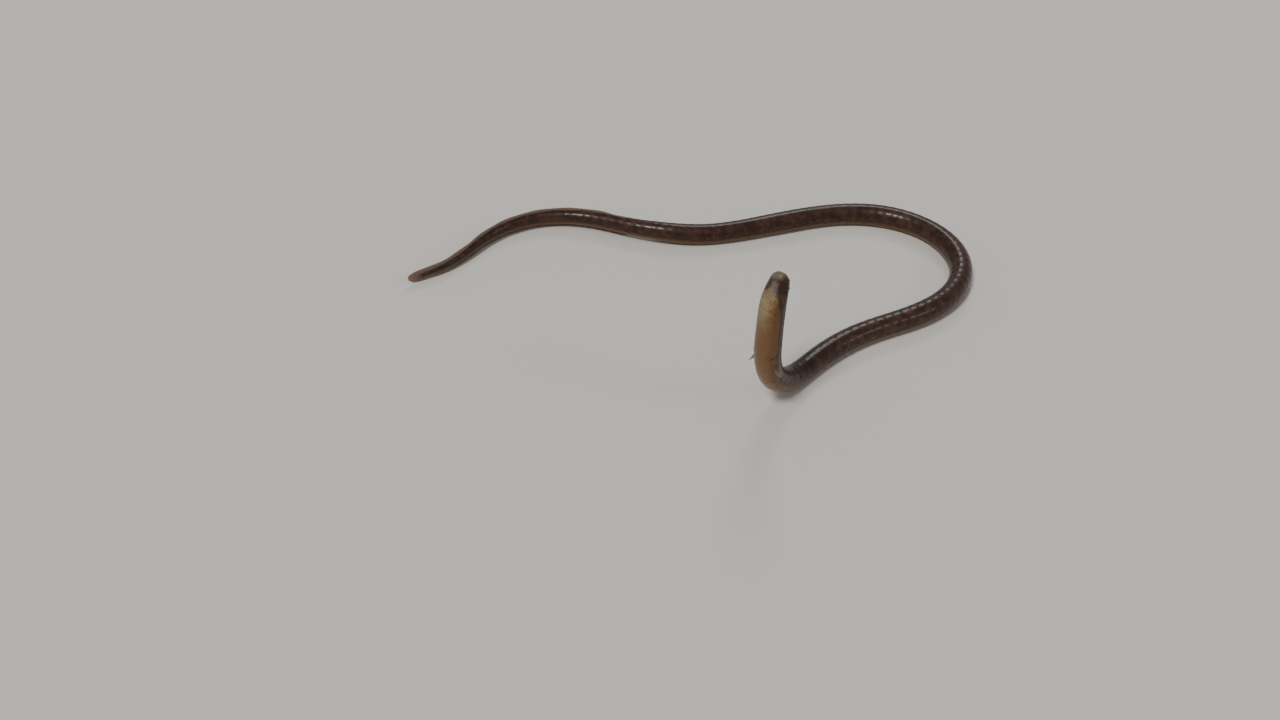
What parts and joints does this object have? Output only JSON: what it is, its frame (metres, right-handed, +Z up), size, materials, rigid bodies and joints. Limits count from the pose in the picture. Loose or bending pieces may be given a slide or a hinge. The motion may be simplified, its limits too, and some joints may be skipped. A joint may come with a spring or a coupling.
{
  "type": "purple spaghetti eel",
  "caption": "Thin purple-brown worm eel lying in loose bends with its small blunt head raised straight up, low tail fins joined to a rounded tail fin, and tiny pectoral fins.",
  "frame": {"origin": "on the floor, under the middle of the box round the whole animal", "axes": "+Z up; the picture's camera looks along +Y and down, with +X to its right"},
  "size_m": [0.177, 0.102, 0.0474],
  "materials": {
    "skin": "wet scaleless skin",
    "fin": "wet thin membrane with fin rays",
    "eye": "glossy, under clear skin"
  },
  "bodies": {
    "root": {"head": "skin", "lower_jaw": "skin", "neck": "skin", "trunk_1": "skin", "trunk_2": "skin", "trunk_3": "skin", "trunk_4": "skin", "tail_1": "skin", "tail_2": "skin", "dorsal_fin": "fin", "anal_fin": "fin", "tail_fin": "fin", "pectoral_fin_left": "fin", "pectoral_fin_right": "fin", "eye_left": "eye", "eye_right": "eye"}
  },
  "joints": []
}
